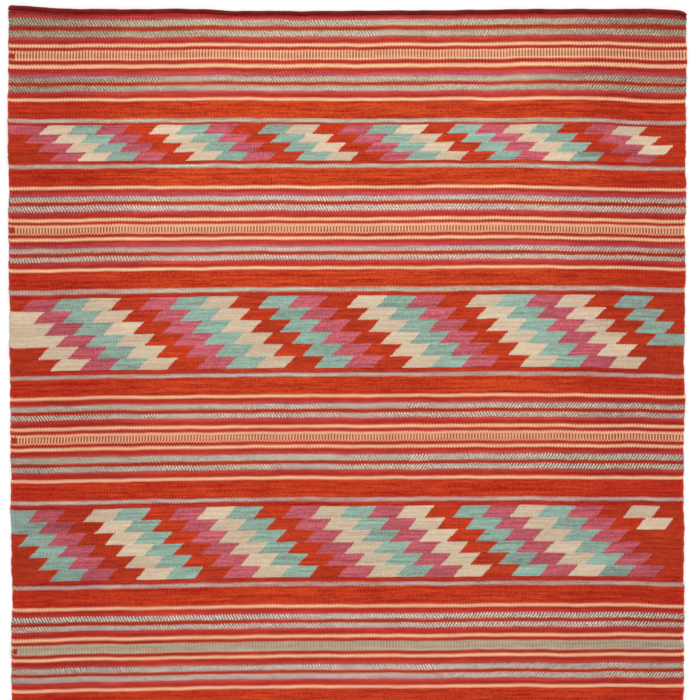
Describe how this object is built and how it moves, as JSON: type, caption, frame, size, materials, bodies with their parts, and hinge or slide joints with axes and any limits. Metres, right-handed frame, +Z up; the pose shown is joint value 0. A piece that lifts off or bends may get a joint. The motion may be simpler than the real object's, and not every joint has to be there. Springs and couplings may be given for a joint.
{
  "type": "area rug",
  "caption": "Flat-woven wool area rug lying flat, with cross stripes, plain bands, stepped zigzag panels and rolled hems at both ends.",
  "frame": {"origin": "middle of the rug on its underside, on the floor it lies on", "axes": "+Z up out of the face, +Y along the rug to the head end, +X across the rug, to the right when the head end is at the top"},
  "size_m": [1.52, 2.3996, 0.007],
  "materials": {
    "crimson_wool": "firm rolled hem of tightly packed dark crimson wool, matt, with the diagonal lay of the yarn",
    "cotton_cord": "undyed plied cotton cord, matt, hidden inside the weft",
    "orange_wool": "hand-spun orange-red wool in plain weft-faced weave, matt, with streaks of lighter and darker dye along the weft",
    "grey_wool": "grey-beige wool line with a red margin, matt, with a toothed edge of one float",
    "panel_wool": "cells of pink, turquoise, cream and orange-red wool in one slanting pattern, matt, slightly uneven in dye",
    "marled_wool": "two-ply yarn of grey and cream with dark flecks that fall in diagonals, matt",
    "stripe_wool": "narrow lines of rose, red, peach and lilac wool and one line of small ticks, matt"
  },
  "bodies": {
    "root": {"foot_roll": "crimson_wool", "grey_line_01": "grey_wool", "grey_line_02": "grey_wool", "grey_line_03": "grey_wool", "grey_line_04": "grey_wool", "grey_line_05": "grey_wool", "grey_line_06": "grey_wool", "grey_line_07": "grey_wool", "grey_line_08": "grey_wool", "grey_line_09": "grey_wool", "grey_line_10": "grey_wool", "head_roll": "crimson_wool", "left_selvedge_cord": "cotton_cord", "plain_band_01": "orange_wool", "plain_band_02": "orange_wool", "plain_band_03": "orange_wool", "plain_band_04": "orange_wool", "plain_band_05": "orange_wool", "plain_band_06": "orange_wool", "plain_band_07": "orange_wool", "plain_band_08": "orange_wool", "plain_band_09": "orange_wool", "plain_band_10": "orange_wool", "right_selvedge_cord": "cotton_cord", "stripes_1_centre": "stripe_wool", "stripes_1_foot_lines": "stripe_wool", "stripes_1_foot_marl": "marled_wool", "stripes_1_head_lines": "stripe_wool", "stripes_1_head_marl": "marled_wool", "stripes_2_centre": "stripe_wool", "stripes_2_foot_lines": "stripe_wool", "stripes_2_foot_marl": "marled_wool", "stripes_2_head_lines": "stripe_wool", "stripes_2_head_marl": "marled_wool", "stripes_3_centre": "stripe_wool", "stripes_3_foot_lines": "stripe_wool", "stripes_3_foot_marl": "marled_wool", "stripes_3_head_lines": "stripe_wool", "stripes_3_head_marl": "marled_wool", "stripes_4_centre": "stripe_wool", "stripes_4_foot_lines": "stripe_wool", "stripes_4_foot_marl": "marled_wool", "stripes_4_head_lines": "stripe_wool", "stripes_4_head_marl": "marled_wool", "stripes_5_centre": "stripe_wool", "stripes_5_foot_lines": "stripe_wool", "stripes_5_foot_marl": "marled_wool", "stripes_5_head_lines": "stripe_wool", "stripes_5_head_marl": "marled_wool", "stripes_6_centre": "stripe_wool", "stripes_6_foot_lines": "stripe_wool", "stripes_6_foot_marl": "marled_wool", "stripes_6_head_lines": "stripe_wool", "stripes_6_head_marl": "marled_wool", "warp": "cotton_cord", "zigzag_panel_1": "panel_wool", "zigzag_panel_2": "panel_wool", "zigzag_panel_3": "panel_wool", "zigzag_panel_4": "panel_wool", "zigzag_panel_5": "panel_wool"}
  },
  "joints": []
}
